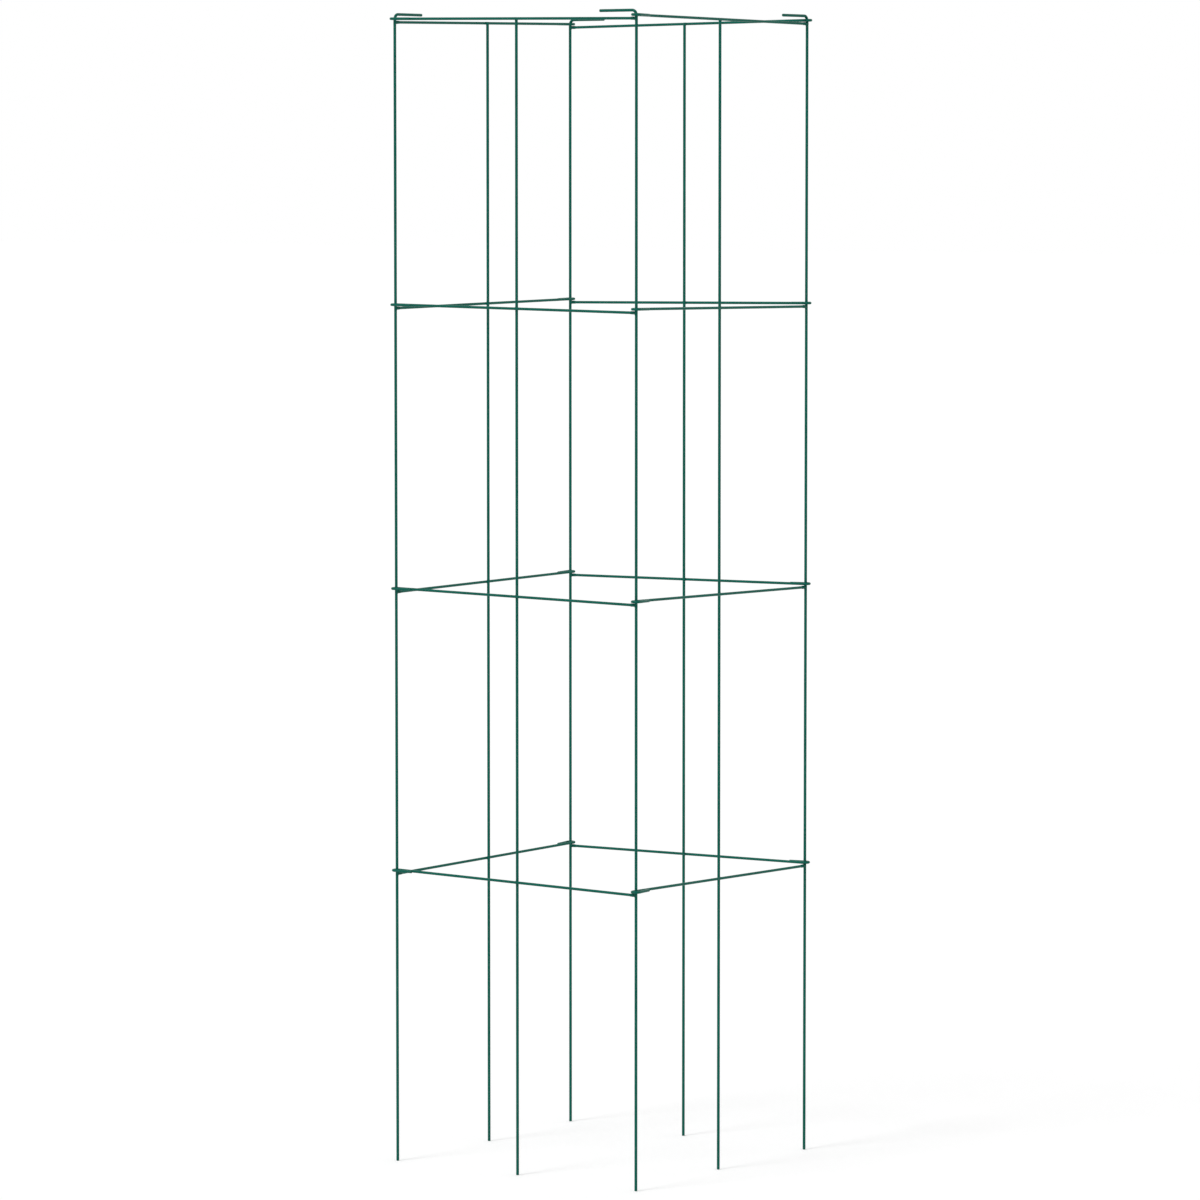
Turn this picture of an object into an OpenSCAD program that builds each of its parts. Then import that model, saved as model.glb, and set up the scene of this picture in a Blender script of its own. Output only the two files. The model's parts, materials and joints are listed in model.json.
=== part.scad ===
// Folding square tomato cage of coated steel wire.
// Four like panels hook onto each other's corner legs and fold flat.

/* [Cage] */
// Distance between the axes of two neighbouring corner legs
side = 380; // [250:5:600]
// Height of the lowest rail above the leg tips, which is the length pushed into the soil
base_rail_height = 375; // [150:5:500]
// Height from one rail to the next
rail_pitch = 365.5; // [150:0.5:450]

/* [Wire] */
// Diameter of the coated wire of the corner legs and mid stakes
post_wire_d = 3.7; // [2.5:0.1:4.5]
// Diameter of the coated wire of the rails
rail_wire_d = 3.5; // [2.5:0.1:4.5]

/* [Leg arm] */
// Height of the arm's axis above the weld of the top rail
arm_rise = 10.1; // [9:0.1:30]
// Reach of the arm from the leg's axis to its cut end
arm_reach = 56; // [30:1:100]
// Radius of the bend between leg and arm, on the wire's axis
arm_bend_r = 6.5; // [4:0.5:8]

/* [Rail hook] */
// Gap between the leg and the inside of the hook
hook_play = 1.4; // [0.5:0.1:4]
// Length of the hook's straight return strand, from its bend to its cut end
hook_return = 25; // [15:1:35]
// Angle by which the hook closes in past a half turn
hook_close = 8; // [0:1:10]
// Gap between the hook and the weld bead that it sits on
hook_seat_gap = 0.7; // [0.3:0.1:2]

/* [Welds] */
// Thickness of the bead over the rail where it is welded to its own leg
bead_over = 0.3; // [0.2:0.1:0.8]
// Length of the bead along the rail, from the leg's axis
bead_length = 7; // [5:0.5:12]
// Length over which the bead runs out to the bare rail
bead_runout = 3; // [1:0.5:6]
// Depth to which stake and rail are pressed into each other at their weld
weld_set_down = 0.7; // [0.2:0.1:0.9]

/* [Hidden] */
// Panels in the order in which each hooks onto the next, clockwise from above
PANELS = ["front", "left", "back", "right"];

// Rails of a panel from the lowest up
LEVELS = ["base", "lower", "upper", "top"];

$fn = 48;
wire_green = [0.17, 0.37, 0.33];

quarter_turn = 90;
half_turn = 180;

post_r = post_wire_d / 2;
rail_r = rail_wire_d / 2;

// The bead's rounded end laps a little way round the leg
bead_r = rail_r + bead_over;
bead_start_share = 0.6;
bead_start = post_r * bead_start_share;

// The hook's axis turns round the leg at this radius
hook_r = post_r + hook_play + rail_r;

// Each hook sits above its neighbour's bead, so a rail climbs by this much from weld to hook
rail_climb = bead_r + hook_seat_gap + rail_r;
reach_along_climb = sqrt(side ^ 2 + rail_climb ^ 2);
climb_angle = asin(rail_climb / reach_along_climb);

// The rail leaves its own leg in line with the axis and passes the next one on the inside
skew_angle = asin(hook_r / reach_along_climb);
rail_straight = sqrt(reach_along_climb ^ 2 - hook_r ^ 2);

// How many names come before this one in its list
function names_before(name, list) = [for (i = [0 : len(list) - 1]) if (list[i] == name) i][0];

// Height of a rail's axis at its own leg
function rail_height(level) = base_rail_height + names_before(level, LEVELS) * rail_pitch;

leg_height = rail_height("top") + arm_rise;

// The stake stands halfway, pressed into the inner side of the rails, flush with the top rail
stake_share = 1 / 2;
stake_along = side * stake_share;
stake_inset = hook_r * stake_share + rail_r + post_r - weld_set_down;
stake_height = rail_height("top") + rail_climb * stake_share + rail_r;

// A panel's own frame has its leg on Z, the next leg along X, and the outside of the cage at +Y
module in_panel(panel) {
    rotate(half_turn - names_before(panel, PANELS) * quarter_turn)
        translate([-side / 2, side / 2, 0])
            children();
}

// Straight wire along X from the origin
module wire_run(r, length) {
    rotate([0, quarter_turn, 0])
        cylinder(r = r, h = length);
}

// Bent wire round the origin in the XY plane, from angle zero
module wire_bend(r, bend_r, angle) {
    rotate_extrude(angle = angle)
        translate([bend_r, 0])
            circle(r);
}

// Leg wire with its top turned over into the arm
module corner_leg(panel) {
    straight = leg_height - arm_bend_r;
    color(wire_green)
        in_panel(panel) {
            cylinder(r = post_r, h = straight);
            translate([arm_bend_r, 0, straight]) {
                rotate([quarter_turn, 0, 0])
                    rotate(quarter_turn)
                        wire_bend(post_r, arm_bend_r, quarter_turn);
                translate([0, 0, arm_bend_r])
                    wire_run(post_r, arm_reach - arm_bend_r);
            }
        }
}

// Stake wire in its place in the panel's frame
module stake_wire() {
    translate([stake_along, -stake_inset, 0])
        cylinder(r = post_r, h = stake_height);
}

// Straight wire welded to the inner side of the rails
module mid_stake(panel) {
    color(wire_green)
        in_panel(panel)
            stake_wire();
}

// Weld bead round the rail's end at its own leg, running out to the bare rail
module weld_bead() {
    translate([bead_start, 0, 0]) {
        sphere(bead_r);
        wire_run(bead_r, bead_length - bead_start);
    }
    translate([bead_length, 0, 0])
        rotate([0, quarter_turn, 0])
            cylinder(r1 = bead_r, r2 = rail_r, h = bead_runout);
}

// Hairpin round the next leg, whose axis is at the origin, with the return strand on the outside
module hook() {
    rotate(-quarter_turn)
        wire_bend(rail_r, hook_r, half_turn + hook_close);
    rotate(half_turn + hook_close)
        translate([0, -hook_r, 0])
            wire_run(rail_r, hook_return);
}

// Rail wire from its weld to the end of its hook, along its own axis
module rail_wire() {
    wire_run(rail_r, rail_straight);
    weld_bead();
    translate([rail_straight, hook_r, 0])
        hook();
}

// Rail climbing from its own leg to the next, cut to fit the leg and stake that it is welded to
module rail(panel, level) {
    color(wire_green)
        in_panel(panel)
            difference() {
                translate([0, 0, rail_height(level)])
                    rotate([0, -climb_angle, 0])
                        rotate(-skew_angle)
                            rail_wire();
                cylinder(r = post_r, h = leg_height);
                stake_wire();
            }
}

for (panel = PANELS) {
    corner_leg(panel);
    mid_stake(panel);
    for (level = LEVELS)
        rail(panel, level);
}
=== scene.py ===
import json
import math

import bmesh
import bpy
from mathutils import Matrix, Vector, noise
from mathutils.geometry import intersect_point_line


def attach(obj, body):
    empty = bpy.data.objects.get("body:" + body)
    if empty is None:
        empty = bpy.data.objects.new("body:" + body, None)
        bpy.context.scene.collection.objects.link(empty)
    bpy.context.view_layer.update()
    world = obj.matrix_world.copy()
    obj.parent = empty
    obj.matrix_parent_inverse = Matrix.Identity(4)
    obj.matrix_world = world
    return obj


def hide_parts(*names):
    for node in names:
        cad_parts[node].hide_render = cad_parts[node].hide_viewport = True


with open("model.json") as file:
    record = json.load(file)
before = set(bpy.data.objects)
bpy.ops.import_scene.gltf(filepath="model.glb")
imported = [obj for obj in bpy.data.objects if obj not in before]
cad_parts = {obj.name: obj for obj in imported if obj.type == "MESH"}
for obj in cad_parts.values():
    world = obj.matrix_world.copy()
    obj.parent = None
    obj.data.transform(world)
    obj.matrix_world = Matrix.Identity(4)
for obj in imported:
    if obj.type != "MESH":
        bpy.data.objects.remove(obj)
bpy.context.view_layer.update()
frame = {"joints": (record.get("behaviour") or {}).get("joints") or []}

# Corner legs
# One to a panel: hard-drawn steel wire in a green coat, straight from the ground to the top. There it
# is bent over a former into a short arm along its own panel, which keeps its neighbour's hooks on it.
panels = ("front", "left", "back", "right")
levels = ("base", "lower", "upper", "top")
hinge_place = {joint["name"]: Vector(joint["pos_m"]) for joint in frame["joints"]}
side = (hinge_place["right_panel_fold"] - hinge_place["left_panel_fold"]).length
base_rail_height = 0.375
rail_pitch = 0.3655
rail_height = {level: base_rail_height + step * rail_pitch for step, level in enumerate(levels)}
post_r = 0.00185
arm_rise = 0.0101
arm_bend_r = 0.0065
arm_reach = 0.056
leg_straight = rail_height["top"] + arm_rise - arm_bend_r
up = Vector((0, 0, 1))
along_panel = Vector((1, 0, 0))
outward = Vector((0, 1, 0))
quarter_turn = math.pi / 2

# Scales of the coat's grains are in grains to a metre
coat_deep = (0.0015, 0.090, 0.063, 1)
coat_pale = (0.0030, 0.114, 0.081, 1)
tone_shares = (0.38, 0.62)
coat_shine = 0.09
coat_smoothest = 0.24
coat_roughest = 0.36
patch_scale = 30
patch_detail = 3
drawing_line_scale = 1400
drawing_line_detail = 2
drawing_line_stretch = 0.03
drawing_line_share = 0.35
peel_scale = 700
peel_detail = 1
peel_share = 0.3
peel_height = 0.000035
nib_scale = 220
nib_core = 0.02
nib_edge = 0.05
nib_rise = 0.8
nib_deepening = 0.3
weld_deepening = 0.25
weld_roughening = 0.15


def grain(tree, place, scale, detail):
    """Soft noise on the coat, whose patches get smaller as the scale grows."""
    texture = tree.nodes.new("ShaderNodeTexNoise")
    texture.inputs["Scale"].default_value = scale
    texture.inputs["Detail"].default_value = detail
    tree.links.new(place, texture.inputs["Vector"])
    return texture.outputs["Fac"]


def blended(tree, first, second, share):
    """A mixture of two values, with this share of the second."""
    mix = tree.nodes.new("ShaderNodeMix")
    mix.inputs["Factor"].default_value = share
    tree.links.new(first, mix.inputs["A"])
    tree.links.new(second, mix.inputs["B"])
    return mix.outputs["Result"]


def shifted(tree, value, share, by):
    """A value, plus a share of another one."""
    shift = tree.nodes.new("ShaderNodeMath")
    shift.operation = "MULTIPLY_ADD"
    tree.links.new(by, shift.inputs[0])
    shift.inputs[1].default_value = share
    tree.links.new(value, shift.inputs[2])
    return shift.outputs["Value"]


def green_coat():
    """Satin green coat, patchy in tone, with faint drawing lines, orange peel, nibs and dull welds."""
    coat = bpy.data.materials.new("green_wire_coat")
    coat.use_nodes = True
    tree = coat.node_tree
    shader = tree.nodes["Principled BSDF"]
    shader.inputs["Specular IOR Level"].default_value = coat_shine

    on_cage = tree.nodes.new("ShaderNodeTexCoord").outputs["Object"]
    drawn = tree.nodes.new("ShaderNodeAttribute")
    drawn.attribute_name = "drawn"
    on_wire = drawn.outputs["Vector"]
    stretch = tree.nodes.new("ShaderNodeMapping")
    stretch.inputs["Scale"].default_value = (1, 1, drawing_line_stretch)
    tree.links.new(on_wire, stretch.inputs["Vector"])
    welded = tree.nodes.new("ShaderNodeAttribute")
    welded.attribute_name = "welded"
    at_weld = welded.outputs["Fac"]

    patches = grain(tree, on_cage, patch_scale, patch_detail)
    lines = grain(tree, stretch.outputs["Vector"], drawing_line_scale, drawing_line_detail)
    peel = grain(tree, on_wire, peel_scale, peel_detail)

    nib_cells = tree.nodes.new("ShaderNodeTexVoronoi")
    nib_cells.inputs["Scale"].default_value = nib_scale
    tree.links.new(on_wire, nib_cells.inputs["Vector"])
    nib_height = tree.nodes.new("ShaderNodeMapRange")
    nib_height.inputs["From Min"].default_value = nib_edge
    nib_height.inputs["From Max"].default_value = nib_core
    tree.links.new(nib_cells.outputs["Distance"], nib_height.inputs["Value"])
    nibs = nib_height.outputs["Result"]

    tone = blended(tree, blended(tree, patches, lines, drawing_line_share), peel, peel_share)
    tone = shifted(tree, tone, -nib_deepening, nibs)
    tone = shifted(tree, tone, -weld_deepening, at_weld)
    colour = tree.nodes.new("ShaderNodeValToRGB")
    for end, share, shade in zip(colour.color_ramp.elements, tone_shares, (coat_deep, coat_pale)):
        end.position = share
        end.color = shade
    tree.links.new(tone, colour.inputs["Fac"])
    tree.links.new(colour.outputs["Color"], shader.inputs["Base Color"])

    gloss = tree.nodes.new("ShaderNodeMapRange")
    gloss.inputs["To Min"].default_value = coat_smoothest
    gloss.inputs["To Max"].default_value = coat_roughest
    tree.links.new(peel, gloss.inputs["Value"])
    roughness = shifted(tree, gloss.outputs["Result"], weld_roughening, at_weld)
    tree.links.new(roughness, shader.inputs["Roughness"])

    bump = tree.nodes.new("ShaderNodeBump")
    bump.inputs["Distance"].default_value = peel_height
    relief = shifted(tree, peel, drawing_line_share, lines)
    tree.links.new(shifted(tree, relief, nib_rise, nibs), bump.inputs["Height"])
    tree.links.new(bump.outputs["Normal"], shader.inputs["Normal"])
    return coat


wire_coat = green_coat()
wire_sides = 32
end_rounding = 0.0006
end_rounding_steps = 4
weld_lump = 0.00015
weld_lump_scale = 450
smallest_edge = 0.00001


class Wire:
    """A length of wire off the coil, drawn out ring by ring. It starts along Z, unless it is turned."""

    # Length that has come off the coil, so that no two wires have the same stretch of coat
    coil_used = 0

    def __init__(self, radius, turn=Matrix()):
        self.mesh = bmesh.new()
        self.drawn = self.mesh.verts.layers.float_vector.new("drawn")
        self.welded = self.mesh.verts.layers.float.new("welded")
        verts = bmesh.ops.create_circle(self.mesh, segments=wire_sides, radius=radius)["verts"]
        for vert in verts:
            vert[self.drawn] = vert.co + up * Wire.coil_used
        bmesh.ops.transform(self.mesh, matrix=turn, verts=verts)
        self.ring = self.mesh.edges[:]
        self.first_ring = self.ring
        self.ring_r = radius

    def ring_verts(self):
        """Vertices of the last ring."""
        return list(dict.fromkeys(vert for edge in self.ring for vert in edge.verts))

    def ring_middle(self):
        """Place of the last ring on the wire's axis."""
        return sum((vert.co for vert in self.ring_verts()), Vector()) / wire_sides

    def take_ring(self, geometry, length):
        """Goes on from a new ring, and notes how much wire has come off the coil."""
        self.ring = [item for item in geometry if isinstance(item, bmesh.types.BMEdge)]
        Wire.coil_used += length
        for vert in self.ring_verts():
            vert[self.drawn].z = Wire.coil_used

    def draw(self, run):
        """Draws the wire straight on."""
        extruded = bmesh.ops.extrude_edge_only(self.mesh, edges=self.ring)
        self.take_ring(extruded["geom"], run.length)
        bmesh.ops.translate(self.mesh, vec=run, verts=self.ring_verts())

    def draw_through(self, along, done, places):
        """Draws the wire straight on from one distance along it, with a ring at each of the next ones."""
        for place in places:
            self.draw(along * (place - done))
            done = place

    def swell(self, radius):
        """Makes the last ring wider or narrower."""
        change = Vector((1, 1, 1)) * (radius / self.ring_r)
        middle_to_origin = Matrix.Translation(-self.ring_middle())
        bmesh.ops.scale(self.mesh, vec=change, space=middle_to_origin, verts=self.ring_verts())
        self.ring_r = radius

    def bend(self, centre, axis, angle, steps):
        """Bends the wire on round a centre."""
        step_angle = angle / steps
        step_length = (self.ring_middle() - centre).length * step_angle
        for _ in range(steps):
            spun = bmesh.ops.spin(self.mesh, geom=self.ring, cent=centre, axis=axis, angle=step_angle,
                                  steps=1)
            self.take_ring(spun["geom_last"], step_length)

    def cut(self, ring):
        """Closes a cut end, which the coat rounds over."""
        bmesh.ops.edgeloop_fill(self.mesh, edges=ring)
        bmesh.ops.bevel(self.mesh, geom=ring, offset=end_rounding, offset_type="OFFSET", affect="EDGES",
                        segments=end_rounding_steps, profile=0.5, material=-1)

    def set_in_panel(self, panel, name):
        """Sets the finished wire in its panel, makes its welds lumpy, and lets it stand for its solid."""
        panel_turn = Matrix.Rotation(math.pi - panels.index(panel) * quarter_turn, 4, "Z")
        panel_place = panel_turn @ Matrix.Translation((-side / 2, side / 2, 0))
        bmesh.ops.remove_doubles(self.mesh, verts=self.mesh.verts, dist=smallest_edge)
        bmesh.ops.recalc_face_normals(self.mesh, faces=self.mesh.faces)
        bmesh.ops.transform(self.mesh, matrix=panel_place, verts=self.mesh.verts)
        self.mesh.normal_update()
        for vert in self.mesh.verts:
            lump = weld_lump * noise.noise(vert.co * weld_lump_scale)
            vert.co += vert.normal * lump * vert[self.welded]
        node = f"{panel}_{name}"
        shape = bpy.data.meshes.new(f"{node}_wire")
        self.mesh.to_mesh(shape)
        self.mesh.free()
        shape.materials.append(wire_coat)
        shape.shade_smooth()
        wire = bpy.data.objects.new(f"{node}_wire", shape)
        bpy.context.scene.collection.objects.link(wire)
        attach(wire, f"{panel}_panel")
        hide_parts(node)


weld_reach = 0.0018
weld_rise = 0.00045
weld_ring_gap = 0.0004
weld_rings_each_way = 12
plain_ring_gap = 0.030


def ring_places(length, welds):
    """Distances along a straight wire at which it gets a ring, which are close together at its welds."""
    plain = [plain_ring_gap * count for count in range(1, int(length / plain_ring_gap) + 1)]
    places = [place for place in plain if all(abs(place - weld) > plain_ring_gap / 2 for weld in welds)]
    for weld in welds:
        for count in range(-weld_rings_each_way, weld_rings_each_way + 1):
            places.append(weld + weld_ring_gap * count)
    clear_of_end = length - end_rounding - weld_ring_gap
    return sorted(place for place in places if 0 < place < clear_of_end) + [length]


def flow_weld(wire, own_start, own_end, other_start, other_end, other_r):
    """Swells a wire towards one that it is welded to, where melted metal and coat bridge the two."""
    for vert in wire.mesh.verts:
        on_other, other_share = intersect_point_line(vert.co, other_start, other_end)
        gap = max((vert.co - on_other).length - other_r, 0)
        if gap < weld_reach and 0 <= other_share <= 1:
            on_own = intersect_point_line(vert.co, own_start, own_end)[0]
            closeness = 1 - gap / weld_reach
            vert.co += (vert.co - on_own).normalized() * weld_rise * closeness ** 2
            vert[wire.welded] = closeness


rail_r = 0.00175
bead_over = 0.0003
bead_r = rail_r + bead_over
bead_length = 0.007
leg_foot = Vector((0, 0, 0))
leg_bend_start = up * leg_straight
arm_bend_centre = leg_bend_start + along_panel * arm_bend_r
arm_bend_steps = 14

for panel in panels:
    leg = Wire(post_r)
    leg.draw_through(up, 0, ring_places(leg_straight, rail_height.values()))
    leg.bend(arm_bend_centre, outward, quarter_turn, arm_bend_steps)
    leg.draw(along_panel * (arm_reach - arm_bend_r))
    for height in rail_height.values():
        weld = up * height
        flow_weld(leg, leg_foot, leg_bend_start, weld, weld + along_panel * bead_length, bead_r)
    leg.cut(leg.ring)
    leg.cut(leg.first_ring)
    leg.set_in_panel(panel, "corner_leg")

# Mid stakes
# One to a panel: the same coated wire as the legs, cut straight at both ends. It stands halfway along
# the panel and is spot-welded to the inner side of the four rails, flush with the top one.
hook_play = 0.0014
hook_r = post_r + hook_play + rail_r
hook_seat_gap = 0.0007
rail_climb = bead_r + hook_seat_gap + rail_r
weld_set_down = 0.0007
stake_along = side / 2
stake_inset = hook_r / 2 + rail_r + post_r - weld_set_down
stake_height = rail_height["top"] + rail_climb / 2 + rail_r
stake_foot = Vector((stake_along, -stake_inset, 0))
stake_top = stake_foot + up * stake_height
stake_welds = [height + rail_climb / 2 for height in rail_height.values()]

reach_along_climb = math.hypot(side, rail_climb)
climb_angle = math.asin(rail_climb / reach_along_climb)
skew_angle = math.asin(hook_r / reach_along_climb)
rail_straight = math.sqrt(reach_along_climb ** 2 - hook_r ** 2)
rail_slant = Matrix.Rotation(-climb_angle, 4, "Y") @ Matrix.Rotation(-skew_angle, 4, "Z")
rail_place = {level: Matrix.Translation(up * height) @ rail_slant
              for level, height in rail_height.items()}
rail_end = along_panel * rail_straight
rail_line = {level: (place.translation, place @ rail_end) for level, place in rail_place.items()}

for panel in panels:
    stake = Wire(post_r, Matrix.Translation(stake_foot))
    stake.draw_through(up, 0, ring_places(stake_height, stake_welds))
    for start, end in rail_line.values():
        flow_weld(stake, stake_foot, stake_top, start, end, rail_r)
    stake.cut(stake.ring)
    stake.cut(stake.first_ring)
    stake.set_in_panel(panel, "mid_stake")

# Rails
# Four to a panel: slightly thinner coated wire, butt-welded to its own leg in a swollen bead. It climbs
# to the next leg, passes it on the inside and turns back round it in a hook, on which the cage folds.
bead_start_share = 0.6
bead_start = post_r * bead_start_share
bead_runout = 0.003
bead_end_steps = 8
bead_steps = 15
runout_steps = 8
hook_return = 0.025
hook_close = math.radians(8)
hook_turn = math.pi + hook_close
hook_steps = 40
hook_centre = Vector((rail_straight, hook_r, 0))
return_run = Vector((math.cos(hook_turn), math.sin(hook_turn), 0)) * hook_return
face_along = Matrix.Rotation(quarter_turn, 4, "Y")


def bead_stations():
    """Places and radii of the rings from the bead's rounded end to where it has run out."""
    stations = []
    for step in range(1, bead_end_steps):
        angle = quarter_turn * step / bead_end_steps
        stations.append((bead_start - bead_r * math.cos(angle), bead_r * math.sin(angle)))
    for step in range(bead_steps):
        stations.append((bead_start + (bead_length - bead_start) * step / bead_steps, bead_r))
    for step in range(runout_steps + 1):
        share = step / runout_steps
        left_over = bead_over * (1 + math.cos(math.pi * share)) / 2
        stations.append((bead_length + bead_runout * share, rail_r + left_over))
    return stations


stake_crossing = stake_along / math.cos(climb_angle)
rail_rings = ring_places(rail_straight, [stake_crossing])

for panel in panels:
    for level in levels:
        (place, radius), *stations = bead_stations()
        rail = Wire(rail_r, Matrix.Translation(along_panel * place) @ face_along)
        rail.swell(radius)
        done = place
        for place, radius in stations:
            rail.draw(along_panel * (place - done))
            rail.swell(radius)
            for vert in rail.ring_verts():
                vert[rail.welded] = max(radius - rail_r, 0) / bead_over
            done = place
        past_bead = [place for place in rail_rings if place > done + weld_ring_gap]
        rail.draw_through(along_panel, done, past_bead)
        rail.bend(hook_centre, up, hook_turn, hook_steps)
        rail.draw(return_run)
        rail.cut(rail.ring)
        bmesh.ops.edgeloop_fill(rail.mesh, edges=rail.first_ring)
        bmesh.ops.transform(rail.mesh, matrix=rail_place[level], verts=rail.mesh.verts)
        flow_weld(rail, *rail_line[level], stake_foot, stake_top, post_r)
        rail.set_in_panel(panel, f"{level}_rail")

# Studio floor
# A wide pale sheet of matt board under the feet. To the camera and in reflections it is lifted to the
# white of the backdrop, and it still takes the cage's soft shadow.
floor_reach = 60
floor_drop = 0.0002
floor_colour = (0.86, 0.86, 0.86, 1)
floor_lift = 0.14


def shown_rays(tree):
    """One for rays that show a surface, to the camera or reflected, and zero for those that light it."""
    rays = tree.nodes.new("ShaderNodeLightPath")
    shown = rays.outputs["Is Camera Ray"]
    for kind in ("Is Glossy Ray", "Is Transmission Ray"):
        either = tree.nodes.new("ShaderNodeMath")
        either.operation = "MAXIMUM"
        tree.links.new(shown, either.inputs[0])
        tree.links.new(rays.outputs[kind], either.inputs[1])
        shown = either.outputs["Value"]
    return shown


def floor_board():
    """Matt pale board, lifted to white where it is shown."""
    board = bpy.data.materials.new("pale_floor_board")
    board.use_nodes = True
    tree = board.node_tree
    tree.nodes.clear()
    matt = tree.nodes.new("ShaderNodeBsdfDiffuse")
    matt.inputs["Color"].default_value = floor_colour
    lift = tree.nodes.new("ShaderNodeMath")
    lift.operation = "MULTIPLY"
    lift.inputs[1].default_value = floor_lift
    glow = tree.nodes.new("ShaderNodeEmission")
    both = tree.nodes.new("ShaderNodeAddShader")
    output = tree.nodes.new("ShaderNodeOutputMaterial")
    tree.links.new(shown_rays(tree), lift.inputs[0])
    tree.links.new(lift.outputs["Value"], glow.inputs["Strength"])
    tree.links.new(matt.outputs["BSDF"], both.inputs[0])
    tree.links.new(glow.outputs["Emission"], both.inputs[1])
    tree.links.new(both.outputs["Shader"], output.inputs["Surface"])
    return board


sheet = bmesh.new()
bmesh.ops.create_grid(sheet, x_segments=1, y_segments=1, size=floor_reach,
                      matrix=Matrix.Translation((0, 0, -floor_drop)))
floor_shape = bpy.data.meshes.new("studio_floor")
sheet.to_mesh(floor_shape)
sheet.free()
floor_shape.materials.append(floor_board())
floor = bpy.data.objects.new("studio_floor", floor_shape)
bpy.context.scene.collection.objects.link(floor)

# Light
# A broad soft lamp from high on the camera's left, and an even white room that fills the shadows and is
# white to the camera and in reflections.
key_from = Vector((-0.2, -0.75, 1.0))
key_strength = 1.3
key_softness = math.radians(16)
room_strength = 0.7
white = (1, 1, 1, 1)

key = bpy.data.lights.new("soft_key", "SUN")
key.energy = key_strength
key.angle = key_softness
key_lamp = bpy.data.objects.new("soft_key", key)
key_lamp.rotation_euler = key_from.to_track_quat("Z", "Y").to_euler()
bpy.context.scene.collection.objects.link(key_lamp)

room = bpy.data.worlds.new("white_room")
room.use_nodes = True
room_tree = room.node_tree
room_fill = room_tree.nodes["Background"]
room_fill.inputs["Color"].default_value = white
room_fill.inputs["Strength"].default_value = room_strength
room_seen = room_tree.nodes.new("ShaderNodeBackground")
room_seen.inputs["Color"].default_value = white
room_mix = room_tree.nodes.new("ShaderNodeMixShader")
room_tree.links.new(shown_rays(room_tree), room_mix.inputs["Fac"])
room_tree.links.new(room_fill.outputs["Background"], room_mix.inputs[1])
room_tree.links.new(room_seen.outputs["Background"], room_mix.inputs[2])
room_tree.links.new(room_mix.outputs["Shader"], room_tree.nodes["World Output"].inputs["Surface"])
bpy.context.scene.world = room
bpy.context.scene.view_settings.view_transform = "Standard"

# Camera
# A long lens at about nine tenths of the cage's height, a little to the left of the corner between the
# front and right panels.
camera_aim = Vector((-0.0022, -0.0016, 0.7269))
camera_distance = 7.514
camera_azimuth = math.radians(35.897)
camera_elevation = math.radians(4.384)
camera_lens_mm = 173.85
camera_sensor_mm = 36

camera = bpy.data.cameras.new("camera")
camera.lens = camera_lens_mm
camera.sensor_width = camera_sensor_mm
camera_back = Vector((math.sin(camera_azimuth) * math.cos(camera_elevation),
                      -math.cos(camera_azimuth) * math.cos(camera_elevation),
                      math.sin(camera_elevation)))
camera_stand = bpy.data.objects.new("camera", camera)
camera_stand.location = camera_aim + camera_back * camera_distance
camera_stand.rotation_euler = camera_back.to_track_quat("Z", "Y").to_euler()
bpy.context.scene.collection.objects.link(camera_stand)
bpy.context.scene.camera = camera_stand

# Update
# The view layer is brought up to date with the finished scene.
bpy.context.view_layer.update()
